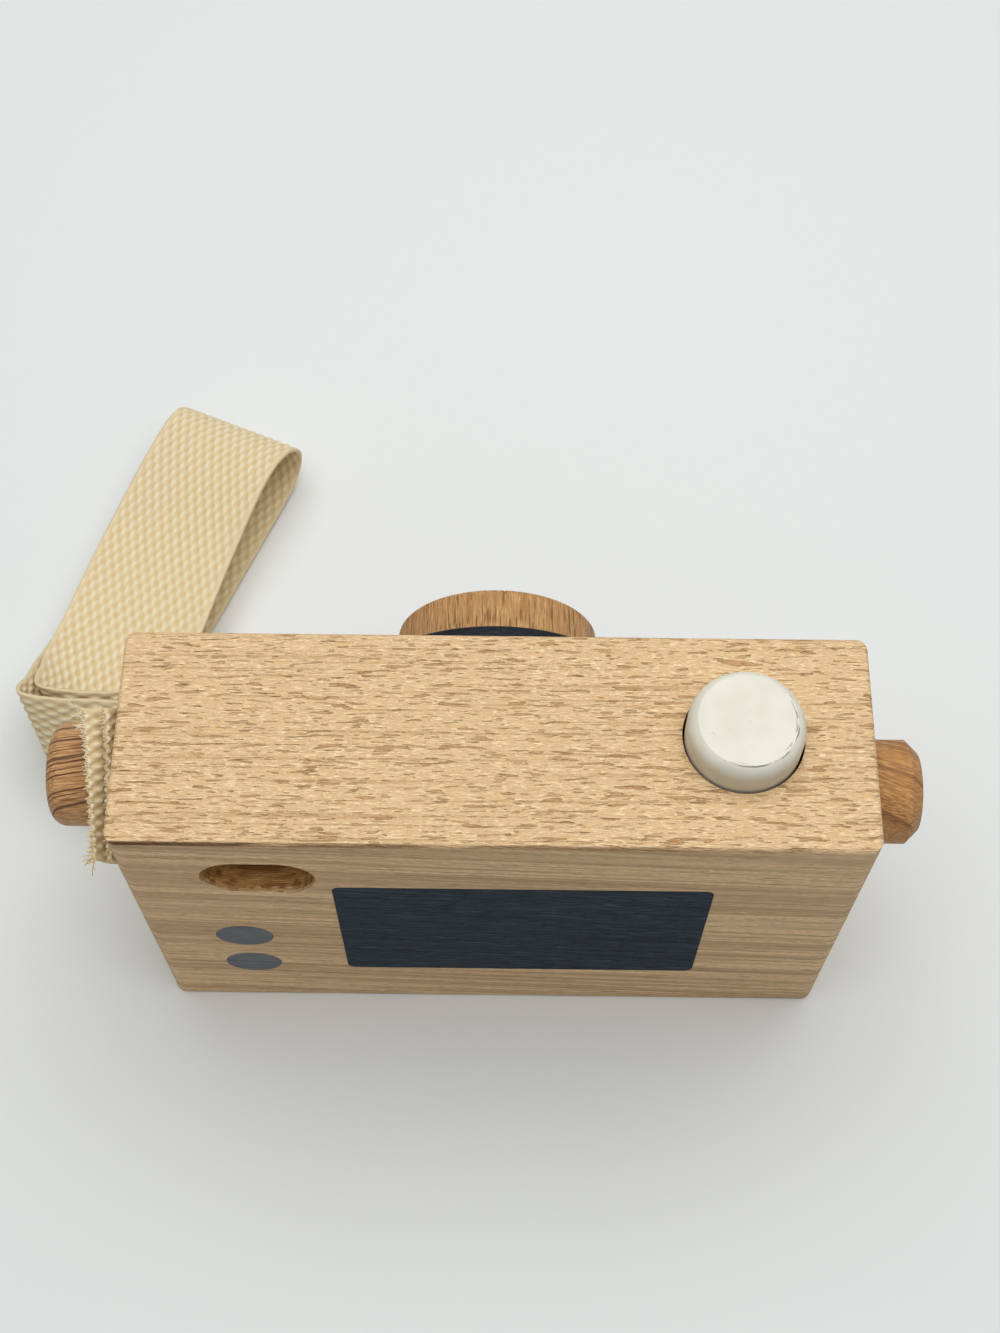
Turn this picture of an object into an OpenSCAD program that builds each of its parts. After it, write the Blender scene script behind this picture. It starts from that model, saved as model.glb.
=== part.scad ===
// Wooden toy camera: a beech block with a sprung shutter button, a lens that turns,
// a viewfinder to look through and a cotton wrist strap on one of its two side pegs.
// The origin is the middle of the block's underside. +Y is the way the lens looks,
// +Z is up, and +X is to the right of the child who looks through the viewfinder.

/* [Body] */
// Width of the block, side to side
body_w = 120; // [112:1:140]
// Depth of the block, back to front
body_d = 37; // [32:1:50]
// Height of the block
body_h = 76; // [74:1:90]
// Rounding of the four upright corners
corner_r = 2.5; // [1:0.5:4]
// Rounding of the edges around the top and the underside
edge_r = 0.8; // [0.4:0.1:1.5]

/* [Viewfinder] */
// Width of the slot that the child looks through
viewfinder_w = 18.6; // [15:0.2:21]
// Height of the slot, which is also the cutter's diameter
viewfinder_h = 12.7; // [9:0.1:14]
// From the block's left side to the middle of the slot
viewfinder_from_side = 22.3; // [21.5:0.1:30]
// From the block's top to the middle of the slot
viewfinder_from_top = 14.4; // [10:0.1:18]

/* [Painted back] */
// Width of the painted screen
screen_w = 62; // [40:1:64]
// Height of the painted screen
screen_h = 41.4; // [30:0.2:50]
// Rounding of the painted screen's corners
screen_r = 1.6; // [0.5:0.1:5]
// Middle of the screen, to the right of the block's middle
screen_x = 4.8; // [0:0.1:10]
// Middle of the screen above the block's underside
screen_z = 37.3; // [32:0.1:44]
// Diameter of a painted control dot
dot_d = 10; // [5:0.5:13]
// From the block's left side to the middle of the dots
dot_from_side = 17; // [10:0.5:20]
// Middle of the lower dot above the underside
dot_z = 19.1; // [12:0.1:26]
// Distance between the two dots
dot_pitch = 14.4; // [13.5:0.1:18]
// Thickness drawn for a coat of paint that fills its own shallow recess
paint_t = 0.3; // [0.2:0.1:0.6]

/* [Shutter button] */
// Diameter of the button
button_d = 18.6; // [14:0.2:20]
// Height of the button above the block at rest
button_proud = 6.3; // [6:0.1:12]
// Radius of the button's rounded shoulder
button_r = 3; // [2:0.1:5]
// Width of the shoulder, which meets the flat top at a crease
button_shoulder = 1.5; // [0.5:0.1:2]
// How far the button can be pressed
button_travel = 4.5; // [2:0.5:5]
// From the block's right side to the middle of the button
button_from_side = 20.8; // [19:0.1:26]
// Middle of the button in front of the block's middle
button_y = 0.7; // [-3:0.1:3]
// Length of the button below the stop slot
button_foot = 7; // [5:0.5:10]
// How far the right peg reaches into the button as its stop
stop_reach = 4.5; // [3:0.5:6]

/* [Button spring] */
// Outside diameter of the spring
spring_d = 11.6; // [8:0.2:13]
// Thickness of the spring wire
spring_wire = 0.9; // [0.6:0.1:1.2]
// Number of turns
spring_turns = 6; // [4:1:8]
// Length of the spring with the button at rest
spring_len = 18; // [14:0.5:22]
// Depth of the spring's seat in the button
spring_seat = 3; // [1:0.5:4]

/* [Strap pegs] */
// Diameter of a peg
peg_d = 17.2; // [14:0.2:20]
// Length of a peg outside its seat
peg_len = 9.5; // [7:0.1:16]
// Rounding at the end of the left peg
left_peg_r = 2.5; // [0.5:0.5:4]
// Bevel at the end of the right peg
right_peg_bevel = 2; // [0.5:0.5:4]
// From the block's top to the pegs' axis
peg_from_top = 18; // [16:0.5:22]
// Left peg's axis in front of the block's middle
left_peg_y = 0.9; // [-2:0.1:2]
// Right peg's axis in front of the block's middle
right_peg_y = -0.6; // [-2:0.1:2]
// Diameter of the glued tenon behind a peg
tenon_d = 8; // [6:0.5:9]
// Depth of the left tenon in the block
left_tenon = 9; // [6:0.5:9.5]

/* [Lens] */
// Height of the lens axis above the underside
lens_z = 38; // [32:0.5:44]
// Diameter of the painted ring on the block
ring_d = 48.8; // [42:0.2:52]
// Thickness of the painted ring
ring_t = 9.2; // [6:0.2:14]
// Diameter of the barrel that turns
barrel_d = 36.2; // [32:0.2:40]
// Length of the barrel
barrel_len = 10.2; // [9:0.2:18]
// Rounding of the outer edges of ring and barrel
lens_edge_r = 1; // [0.4:0.1:2]
// Diameter of the axle peg's stem
axle_d = 12; // [8:0.5:14]
// Diameter of the axle peg's head, which shows as the glass
axle_head_d = 22; // [18:0.5:24]
// Thickness of the axle peg's head
axle_head_t = 3.4; // [2:0.2:4]
// How far the head lies behind the barrel's front edge
axle_head_inset = 1; // [0.4:0.2:2]
// Depth of the stem in the block
axle_embed = 16; // [10:1:24]

/* [Wrist strap] */
// Width of the webbing
strap_w = 27.5; // [25:0.5:28]
// Thickness of the webbing
strap_t = 1.4; // [0.8:0.1:1.5]
// From the peg's axis to the strap's cut ends
strap_tail = 13; // [12:0.1:16]
// How much narrower the frayed ends are than the webbing
strap_pinch = 3.5; // [0:0.5:5]
// How far the outer layer's free end springs away from the block
strap_flare = 2; // [0:0.1:4]

/* [Fits] */
// Room around the button in its bore
button_gap = 0.4; // [0.2:0.05:0.6]
// Room between pieces that move past each other
free_gap = 0.3; // [0.2:0.05:0.5]
// Room around the stem inside the turning barrel
running_gap = 0.06; // [0.02:0.01:0.1]
// Room for glue around a stem or tenon, and at the edge of a coat of paint
glue_gap = 0.05; // [0.02:0.01:0.1]
// Slack beside each layer of the strap where a peg holds it
strap_slack = 0.25; // [0.1:0.05:0.3]

/* [Hidden] */
$fn = 64;
// Cuts run past the face that they open by this much
over = 1;

// Colours
beech = [0.88, 0.73, 0.55];
dark_beech = [0.73, 0.55, 0.36];
navy = [0.06, 0.09, 0.15];
slate = [0.15, 0.18, 0.22];
grey = [0.34, 0.35, 0.36];
white = [0.93, 0.92, 0.87];
steel = [0.70, 0.71, 0.73];
cotton = [0.91, 0.84, 0.67];

// Places worked out from the sizes above
side_x = body_w / 2;
back_y = -body_d / 2;
front_y = body_d / 2;
peg_z = body_h - peg_from_top;
viewfinder_x = viewfinder_from_side - side_x;
viewfinder_z = body_h - viewfinder_from_top;
dot_x = dot_from_side - side_x;
tenon_r = tenon_d / 2;
button_x = side_x - button_from_side;
button_bore_d = button_d + 2 * button_gap;
button_top = body_h + button_proud;
// The stop slot leaves the tenon room over the whole travel
slot_low = peg_z - tenon_r - free_gap;
slot_high = peg_z + tenon_r + button_travel + free_gap;
slot_r = tenon_r + free_gap;
button_low = slot_low - button_foot;
spring_top = button_low + spring_seat;
spring_floor = spring_top - spring_len;
right_tenon = button_from_side - button_d / 2 + stop_reach;
// The two layers of strap between the block and the left peg
layer_in = strap_slack + strap_t / 2;
layer_out = layer_in + strap_t + strap_slack;
strap_stack = layer_out + strap_t / 2 + strap_slack;
barrel_back = ring_t + free_gap;
barrel_front = barrel_back + barrel_len;
head_front = barrel_front - axle_head_inset;
head_back = head_front - axle_head_t;
head_bore_d = axle_head_d + 2 * free_gap;

// Rounded rectangle about the middle, with true arcs
module rounded(w, h, r) {
  square([w - 2 * r, h], center = true);
  square([w, h - 2 * r], center = true);
  for (x = [-1, 1], y = [-1, 1])
    translate([x * (w / 2 - r), y * (h / 2 - r)]) circle(r);
}

// Outline with round ends, along X
module stadium(w, h) {
  square([w - h, h], center = true);
  for (x = [-1, 1]) translate([x * (w - h) / 2, 0]) circle(h / 2);
}

// Disc with its upper outer edge rounded
module rounded_disc(d, h, r) {
  rotate_extrude() {
    square([d / 2 - r, h]);
    square([d / 2, h - r]);
    translate([d / 2 - r, h - r]) circle(r);
  }
}

// Disc with a flat top, whose rounded shoulder starts at a crease
module crowned_disc(d, h, r, shoulder) {
  shoulder_z = h - sqrt(r * r - pow(r - shoulder, 2));
  rotate_extrude() {
    square([d / 2, shoulder_z]);
    square([d / 2 - r, h]);
    intersection() {
      square([d / 2, h]);
      translate([d / 2 - r, shoulder_z]) circle(r);
    }
  }
}

// Children stand on the block's front, back or sides with +Z pointing out of it
module on_front() translate([0, front_y, lens_z]) rotate([-90, 0, 0]) children();
module on_back(x, z) translate([x, back_y, z]) rotate([90, 0, 0]) children();
module on_left() translate([-side_x, left_peg_y, peg_z]) rotate([0, -90, 0]) children();
module on_right() translate([side_x, right_peg_y, peg_z]) rotate([0, 90, 0]) children();

// The plain block, with all its edges rounded
module blank() {
  intersection() {
    translate([0, 0, -over]) linear_extrude(body_h + 2 * over) rounded(body_w, body_d, corner_r);
    translate([0, front_y + over, body_h / 2]) rotate([90, 0, 0])
      linear_extrude(body_d + 2 * over) rounded(body_w, body_h, edge_r);
    translate([-side_x - over, 0, body_h / 2]) rotate([90, 0, 90])
      linear_extrude(body_w + 2 * over) rounded(body_d, body_h, edge_r);
  }
}

// Screen and dots, as wide as the recess less a gap at each edge
module screen_field(h, gap) {
  on_back(screen_x, screen_z) translate([0, 0, -paint_t])
    linear_extrude(h) rounded(screen_w - 2 * gap, screen_h - 2 * gap, screen_r);
}

module dot_fields(h, gap) {
  for (z = [dot_z, dot_z + dot_pitch])
    on_back(dot_x, z) translate([0, 0, -paint_t]) cylinder(h = h, d = dot_d - 2 * gap);
}

// Beech block with every bore and recess
module body_block() {
  color(beech) difference() {
    blank();
    translate([viewfinder_x, front_y + over, viewfinder_z]) rotate([90, 0, 0])
      linear_extrude(body_d + 2 * over) stadium(viewfinder_w, viewfinder_h);
    translate([button_x, button_y, spring_floor]) cylinder(h = body_h, d = button_bore_d);
    on_left() translate([0, 0, -left_tenon - glue_gap])
      cylinder(h = left_tenon + over, r = tenon_r + glue_gap);
    on_right() translate([0, 0, -right_tenon]) cylinder(h = right_tenon + over, r = tenon_r + glue_gap);
    on_front() translate([0, 0, -axle_embed - glue_gap])
      cylinder(h = axle_embed + over, r = axle_d / 2 + glue_gap);
    screen_field(paint_t + over, 0);
    dot_fields(paint_t + over, 0);
  }
}

module screen_paint() {
  color(slate) screen_field(paint_t, glue_gap);
}

module dot_paint() {
  color(grey) dot_fields(paint_t, glue_gap);
}

// White plunger with a slot for its stop and a seat for its spring
module shutter_button() {
  color(white) translate([button_x, button_y, 0]) difference() {
    translate([0, 0, button_low]) crowned_disc(button_d, button_top - button_low, button_r, button_shoulder);
    translate([button_d / 2 - stop_reach - free_gap, right_peg_y - button_y, (slot_low + slot_high) / 2])
      rotate([0, 90, 0]) linear_extrude(button_d) stadium(slot_high - slot_low, 2 * slot_r);
    translate([0, 0, button_low - over])
      cylinder(h = spring_seat + over, d = spring_d + 2 * free_gap);
  }
}

// Helix of round wire as one closed tube
spring_sides = 6;
spring_rings = 8 * spring_turns;
spring_bend_r = (spring_d - spring_wire) / 2;
spring_rise = spring_len - spring_wire - 2 * glue_gap;
function spring_point(i, k) =
  let (turn = 360 * spring_turns * i / spring_rings, side = 360 * k / spring_sides,
       reach = spring_bend_r + spring_wire / 2 * cos(side))
  [reach * cos(turn), reach * sin(turn), spring_rise * i / spring_rings + spring_wire / 2 * sin(side)];
echo(spring_gap = spring_rise / spring_turns - spring_wire);

// Triangles of a closed tube of n rings with m points each
function tube_faces(n, m) = concat(
  [for (k = [1 : m - 2]) [0, k, k + 1]],
  [for (i = [0 : n - 2], k = [0 : m - 1]) [i * m + k, (i + 1) * m + k, (i + 1) * m + (k + 1) % m]],
  [for (i = [0 : n - 2], k = [0 : m - 1]) [i * m + k, (i + 1) * m + (k + 1) % m, i * m + (k + 1) % m]],
  [for (k = [1 : m - 2]) [(n - 1) * m, (n - 1) * m + k + 1, (n - 1) * m + k]]);

module button_spring() {
  color(steel) translate([button_x, button_y, spring_floor + glue_gap + spring_wire / 2])
    polyhedron([for (i = [0 : spring_rings], k = [0 : spring_sides - 1]) spring_point(i, k)],
               tube_faces(spring_rings + 1, spring_sides));
}

// Turned pegs on their tenons; the left one stands off the block by the strap's two layers
module tenon(depth, seat) {
  translate([0, 0, -depth]) cylinder(h = depth + seat + peg_len / 2, r = tenon_r);
}

module left_strap_peg() {
  color(dark_beech) on_left() {
    tenon(left_tenon, strap_stack);
    translate([0, 0, strap_stack]) rounded_disc(peg_d, peg_len, left_peg_r);
  }
}

// Its longer tenon is the stop that keeps the button in the block
module right_strap_peg() {
  color(dark_beech) on_right() {
    tenon(right_tenon, 0);
    cylinder(h = peg_len - right_peg_bevel, d = peg_d);
    translate([0, 0, peg_len - right_peg_bevel])
      cylinder(h = right_peg_bevel, d1 = peg_d, d2 = peg_d - 2 * right_peg_bevel);
  }
}

// Turned ring, glued to the block's front
module lens_ring() {
  color(navy) on_front() difference() {
    rounded_disc(ring_d, ring_t, lens_edge_r);
    translate([0, 0, -over]) cylinder(h = ring_t + 2 * over, r = axle_d / 2 + glue_gap);
  }
}

// Turned barrel, free to turn on the axle peg
module lens_barrel() {
  color(dark_beech) on_front() difference() {
    translate([0, 0, barrel_back]) rounded_disc(barrel_d, barrel_len, lens_edge_r);
    cylinder(h = barrel_front + over, r = axle_d / 2 + running_gap);
    translate([0, 0, head_back - free_gap]) cylinder(h = barrel_len, d = head_bore_d);
    translate([0, 0, barrel_front - lens_edge_r])
      cylinder(h = 2 * lens_edge_r, d1 = head_bore_d, d2 = head_bore_d + 4 * lens_edge_r);
  }
}

// Headed peg that holds the barrel on; its slightly domed dark head stands for the glass
head_dome = axle_head_t / 3;
head_dome_r = (pow(axle_head_d / 2, 2) + pow(head_dome, 2)) / (2 * head_dome);
module lens_axle_peg() {
  color(navy) on_front() {
    translate([0, 0, -axle_embed]) cylinder(h = axle_embed + head_back + head_dome, d = axle_d);
    intersection() {
      translate([0, 0, head_back]) cylinder(h = axle_head_t, d = axle_head_d);
      translate([0, 0, head_front - head_dome_r]) sphere(head_dome_r, $fn = 128);
    }
  }
}

// Route of the strap from one cut end to the other, as [place, direction of its width].
// Places are from the middle of the block's left side at the height of the underside.
// Between the peg and the floor they are shares of the peg's height.
hang = [0, 0.375, -0.927];
across = [0, 0.927, 0.375];
// It lies flat on the block for this far below the peg, and is punched a little off its middle
flat_leg = 13;
punch_shift = -1.9;
function from_peg(layer, along) = [-layer, left_peg_y, peg_z] + along * hang + punch_shift * across;
route = [
  // Outer layer: under the peg, down the side, out to the left and round
  [from_peg(layer_out + strap_flare, -strap_tail), [0.1, 0, 0] - across],
  [from_peg(layer_out + strap_flare / 5, -0.8 * strap_tail), [0.03, 0, 0] - across],
  [from_peg(layer_out, -0.4 * peg_d), -across],
  [from_peg(layer_out, 0), -across],
  [from_peg(layer_out, flat_leg), -across],
  [[-3.4, 9.5, 0.57 * peg_z], [0, -0.9, -0.43]],
  [[-5.4, 16, 0.388 * peg_z], [0, -0.78, -0.63]],
  [[-9.8, 20.3, 17.6], [0, -0.6, -0.8]],
  [[-16, 22.2, 16.4], [0, -0.49, -0.87]],
  [[-22.4, 23, 15.8], [0.07, -0.46, -0.88]],
  [[-27.3, 26, 14.6], [0.2, -0.38, -0.9]],
  [[-22.4, 33.3, 11.7], [0.55, -0.25, -0.79]],
  // Along the floor, and over at the far end
  [[-19.5, 39.9, 8.2], [0.78, -0.37, -0.5]],
  [[-16.8, 48.9, 4.9], [0.86, -0.41, -0.3]],
  [[-13.9, 59.2, 1.4], [0.92, -0.39, -0.03]],
  [[-9.8, 68.5, 1], [0.93, -0.37, 0]],
  [[-4.5, 81, 1], [0.92, -0.39, 0]],
  [[3, 98, 2.4], [0.92, -0.4, 0]],
  [[5, 102.3, 8.5], [0.92, -0.4, 0]],
  [[3, 98.4, 13.9], [0.92, -0.4, 0.07]],
  // Back on top of itself, and round inside the outer layer's bend
  [[-0.9, 90, 14.6], [0.91, -0.39, 0.12]],
  [[-7.2, 74.5, 11.6], [0.92, -0.39, 0.04]],
  [[-11.8, 59.7, 11], [0.91, -0.4, -0.05]],
  [[-14.8, 48.9, 10.9], [0.9, -0.41, -0.14]],
  [[-17.1, 39.5, 12.1], [0.84, -0.4, -0.36]],
  [[-18.6, 34.8, 12.4], [0.7, -0.35, -0.62]],
  [[-21.9, 29.5, 13.3], [0.39, -0.3, -0.87]],
  [[-19.6, 25.8, 14.6], [0.12, -0.42, -0.9]],
  [[-13, 24.2, 15.6], [0, -0.5, -0.87]],
  [[-7, 22.6, 18], [0, -0.62, -0.78]],
  // Inner layer: up the side and under the peg
  [[-2.8, 19.4, 0.37 * peg_z], [0, -0.75, -0.66]],
  [[-1.2, 11, 0.552 * peg_z], [0, -0.9, -0.43]],
  [from_peg(layer_in, flat_leg), -across],
  [from_peg(layer_in, 0), -across],
  [from_peg(layer_in, -0.4 * peg_d), -across],
  [from_peg(layer_in + strap_flare / 15, -0.8 * strap_tail), [0.02, 0, 0] - across],
  [from_peg(layer_in + strap_flare / 3, -strap_tail), [0.06, 0, 0] - across]];

// Smooth curve through the keys of column c, at position s counted in keys
last_key = len(route) - 1;
function key(i, c) = route[min(max(i, 0), last_key)][c];
function smooth(s, c) =
  let (i = min(floor(s), last_key - 1), t = s - i,
       p0 = key(i - 1, c), p1 = key(i, c), p2 = key(i + 1, c), p3 = key(i + 2, c))
  (2 * p1 + (p2 - p0) * t + (2 * p0 - 5 * p1 + 4 * p2 - p3) * t * t
   + (3 * p1 - p0 - 3 * p2 + p3) * t * t * t) / 2;
function unit(v) = v / norm(v);

// Width at position s, which grows from the drawn-in ends over so many keys
pinch_keys = 6;
function width_at(s) = strap_w - strap_pinch * max(0, 1 - min(s, last_key - s) / pinch_keys);

// Four corners of the strap's section at position s
strap_steps = 5;
function strap_section(s) =
  let (e = 0.05, c = smooth(s, 0), t = unit(smooth(min(s + e, last_key), 0) - smooth(max(s - e, 0), 0)),
       w = unit(smooth(s, 1)), n = unit(cross(t, w)),
       a = w * width_at(s) / 2, b = n * strap_t / 2)
  [c - a - b, c + a - b, c + a + b, c - a + b];
strap_points = [for (i = [0 : last_key * strap_steps]) each strap_section(i / strap_steps)];

// Cotton webbing, punched at both ends for the peg's tenon
module wrist_strap() {
  color(cotton) difference() {
    translate([-side_x, 0, 0]) polyhedron(strap_points, tube_faces(last_key * strap_steps + 1, 4));
    on_left() cylinder(h = strap_stack, r = tenon_r + free_gap);
  }
}

body_block();
screen_paint();
dot_paint();
shutter_button();
button_spring();
left_strap_peg();
right_strap_peg();
wrist_strap();
lens_ring();
lens_barrel();
lens_axle_peg();
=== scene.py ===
# %% [markdown]
# # A wooden toy camera, dressed
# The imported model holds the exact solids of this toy: a beech block, two pegs, a sprung button, a lens that turns.
# This lesson gives them their wood, paint, steel and cotton, in the same place and at the same size.
# It loads those solids first and keeps their box, so that the dressed toy can be measured against it at the end.

# %% Load the solids
import math
import random

import bpy
import numpy as np
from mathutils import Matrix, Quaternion, Vector


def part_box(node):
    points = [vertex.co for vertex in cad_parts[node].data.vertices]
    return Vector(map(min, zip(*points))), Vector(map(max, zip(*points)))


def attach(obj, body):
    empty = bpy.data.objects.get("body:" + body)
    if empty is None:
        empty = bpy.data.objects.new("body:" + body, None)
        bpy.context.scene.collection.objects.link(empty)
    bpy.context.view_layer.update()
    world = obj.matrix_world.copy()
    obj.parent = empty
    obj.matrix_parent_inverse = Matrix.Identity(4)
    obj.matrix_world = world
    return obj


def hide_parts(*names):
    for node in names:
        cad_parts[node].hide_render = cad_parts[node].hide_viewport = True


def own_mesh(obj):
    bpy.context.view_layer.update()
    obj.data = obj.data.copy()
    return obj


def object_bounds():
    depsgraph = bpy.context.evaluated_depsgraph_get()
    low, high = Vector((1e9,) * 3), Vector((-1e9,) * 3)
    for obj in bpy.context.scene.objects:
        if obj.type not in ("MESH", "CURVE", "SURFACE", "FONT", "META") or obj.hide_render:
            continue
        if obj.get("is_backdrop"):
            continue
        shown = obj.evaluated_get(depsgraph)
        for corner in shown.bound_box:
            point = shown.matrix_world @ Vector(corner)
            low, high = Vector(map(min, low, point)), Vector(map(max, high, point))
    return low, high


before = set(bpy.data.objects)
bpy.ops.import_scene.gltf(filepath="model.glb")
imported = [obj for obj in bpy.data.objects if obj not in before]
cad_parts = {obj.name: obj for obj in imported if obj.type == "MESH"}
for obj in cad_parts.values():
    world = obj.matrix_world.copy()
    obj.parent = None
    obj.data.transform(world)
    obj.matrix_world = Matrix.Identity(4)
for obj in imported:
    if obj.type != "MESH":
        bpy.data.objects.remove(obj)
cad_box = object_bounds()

MM = 0.001  # the frame is in metres, and a toy is easier to think of in millimetres
print("solids:", ", ".join(sorted(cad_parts)))

# %% [markdown]
# ## The camera
# The photograph looks down on the back of the toy from about 63 degrees.
# Its place was worked out from the block's corners, so it is written as a point, a direction and a small roll.
# An empty object with a constraint would aim it too, but plain numbers are easier to check.

# %% Camera
PHOTO_HIGH = 1333          # pixels on the long side, which Blender's sensor width measures
PHOTO_FOCUS = 1880.15      # focal length in the same pixels
eye = Vector((1.62, -123.67, 344.75)) * MM
look = Vector((-0.00309, 0.45243, -0.89179))
roll = math.radians(0.295)

photo_view = bpy.data.objects.new("photo_view", bpy.data.cameras.new("photo_view"))
photo_view.data.lens = PHOTO_FOCUS / PHOTO_HIGH * photo_view.data.sensor_width
photo_view.data.clip_start = 10 * MM
photo_view.location = eye
photo_view.rotation_mode = "QUATERNION"
photo_view.rotation_quaternion = look.to_track_quat("-Z", "Y") @ Quaternion((0, 0, 1), roll)
scene = bpy.context.scene
scene.collection.objects.link(photo_view)
scene.camera = photo_view
scene.view_settings.view_transform = "Standard"
print("lens", round(photo_view.data.lens, 2), "mm")

# %% [markdown]
# ## Colours and nodes
# Colours are picked on a screen, in sRGB, while shaders add up light in linear numbers.
# So one function turns the first into the second.
# One more function adds a shader node, fills its sockets and links it.
# It gives back an output, so that calls can be nested like sums.

# %% Helpers for every material
def linear(code):
    """The linear colour of a hex code such as #DCBC90."""
    shares = [int(code[i:i + 2], 16) / 255 for i in (1, 3, 5)]
    return [s / 12.92 if s <= 0.04045 else ((s + 0.055) / 1.055) ** 2.4 for s in shares] + [1]


def add(tree, kind, inputs=(), out=0, **settings):
    """Adds a node. inputs maps a socket's name or number to a value or to another node's output."""
    made = tree.nodes.new("ShaderNode" + kind)
    for name, value in settings.items():
        setattr(made, name, value)
    for socket, value in dict(inputs).items():
        if isinstance(value, bpy.types.NodeSocket):
            tree.links.new(value, made.inputs[socket])
        else:
            made.inputs[socket].default_value = value
    return made.outputs[out] if made.outputs else made


def new_material(name):
    """An empty material and its node tree."""
    made = bpy.data.materials.new(name)
    made.use_nodes = True
    made.node_tree.nodes.clear()
    return made, made.node_tree


MIXED = 2                  # a Mix node's colour output
COLOUR_A, COLOUR_B = 6, 7  # and its two colour sockets
print("beech", [round(c, 3) for c in linear("#DCBC90")])

# %% [markdown]
# ## Light
# The toy stands on white board under a broad ceiling light, which leaves only soft, short shadows.
# One large lamp above, a little to the lens's side, gives most of the light. The world fills in the rest.
# Together they come to about 1 on the block's top, so a colour renders as it is written.
# The camera and the shiny surfaces see a pale backdrop instead of the grey that lights the toy.

# %% World and lamp
SKY, BACKDROP = 0.2, linear("#E0E3E2")
LAMP_WIDE, LAMP_WATTS, LAMP_AT = 0.9, 6.5, (0.03, 0.14, 0.78)

world = bpy.data.worlds.new("pale_room")
scene.world = world
world.use_nodes = True
tree = world.node_tree
tree.nodes.clear()
rays = add(tree, "LightPath").node.outputs
mirrored = add(tree, "Math", {0: rays["Is Glossy Ray"], 1: rays["Is Transmission Ray"]}, operation="MAXIMUM")
seen = add(tree, "Math", {0: rays["Is Camera Ray"], 1: mirrored}, operation="MAXIMUM")
sky = add(tree, "Background", {"Color": linear("#FFFFFF"), "Strength": SKY})
backdrop = add(tree, "Background", {"Color": BACKDROP, "Strength": 1})
add(tree, "OutputWorld", {"Surface": add(tree, "MixShader", {0: seen, 1: sky, 2: backdrop})})

ceiling = bpy.data.objects.new("ceiling_light", bpy.data.lights.new("ceiling_light", "AREA"))
ceiling.data.size = LAMP_WIDE
ceiling.data.energy = LAMP_WATTS
ceiling.location = LAMP_AT
scene.collection.objects.link(ceiling)
print("lamp", LAMP_WIDE, "m wide,", LAMP_AT[2], "m up")

# %% [markdown]
# ## The board
# White card, pressed and uncoated, so it is matt and shows only the toy's shadow.
# It is a stage piece, so it isn't part of the toy.
# The lamp doesn't light it far out, so further away it turns clear and lets the backdrop through.
# Low views then show no dark horizon.

# %% Floor
FLOOR_HALF = 1.0
CLEAR_FROM, CLEAR_TO = 0.35, 0.8  # metres from the toy

card, tree = new_material("pressed_white_card")
from_toy = add(tree, "VectorMath", {0: add(tree, "TexCoord", out="Object")}, out="Value", operation="LENGTH")
clear = add(tree, "MapRange", {"Value": from_toy, "From Min": CLEAR_FROM, "From Max": CLEAR_TO},
            interpolation_type="SMOOTHSTEP")
matt = add(tree, "BsdfPrincipled", {
    "Base Color": linear("#EAEDEC"), "Roughness": 0.9, "Specular IOR Level": 0.1})
nothing = add(tree, "BsdfTransparent")
add(tree, "OutputMaterial", {"Surface": add(tree, "MixShader", {0: clear, 1: matt, 2: nothing})})

corners = [(x * FLOOR_HALF, y * FLOOR_HALF, 0) for x, y in ((-1, -1), (1, -1), (1, 1), (-1, 1))]
sheet = bpy.data.meshes.new("board")
sheet.from_pydata(corners, [], [(0, 1, 2, 3)])
sheet.materials.append(card)
board = bpy.data.objects.new("board", sheet)
scene.collection.objects.link(board)
board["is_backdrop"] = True
print("board", 2 * FLOOR_HALF, "m wide")

# %% [markdown]
# ## Beech
# Beech is a pale, even hardwood, without the bold rings of oak or pine.
# What marks it are its rays, plates of cells that run out from the pith.
# A face cut along the rings shows them end-on as slim dark spindles, 2 to 6 mm long.
# A face cut across the rings shows soft lines along the grain instead.
# An image of wood would stretch round the edges. Instead the log is drawn in space and each piece is cut from it.
# So a mark has a length, a width and a height in millimetres.

# %% A log in space
def in_mm(tree):
    """The place of a point of the toy, in mm."""
    return add(tree, "VectorMath", {0: add(tree, "TexCoord", out="Object"), "Scale": 1 / MM}, operation="SCALE")


def in_log(tree, pith, turn):
    """The same place in a log's own axes, in mm, with X along the log."""
    return add(tree, "Mapping", {"Vector": in_mm(tree), "Location": pith, "Rotation": turn}, vector_type="TEXTURE")


def marks(tree, log, size, fade, strength=1.0, detail=1.0):
    """Uneven marks about size mm along, across and up the log.

    fade gives the two values of the noise between which they come in.
    """
    drawn_out = add(tree, "Mapping", {"Vector": log, "Scale": size}, vector_type="TEXTURE")
    cloud = add(tree, "TexNoise", {"Vector": drawn_out, "Scale": 1, "Detail": detail})
    return add(tree, "MapRange", {"Value": cloud, "From Min": fade[0], "From Max": fade[1], "To Max": strength},
               interpolation_type="SMOOTHSTEP")


print("marks are drawn in mm")

# %% [markdown]
# The vessels that give beech its fine, crumbly grain are under 0.1 mm wide, too fine to show here.
# They are drawn about three times as coarse, and the wider marks lie on top of them.
# The same numbers give the colour and the height, so a dark mark is also a sunk one.

# %% Figure of the wood
CRUMB_FADE, CRUMB_DETAIL = (0.3, 0.7), 3


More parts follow.
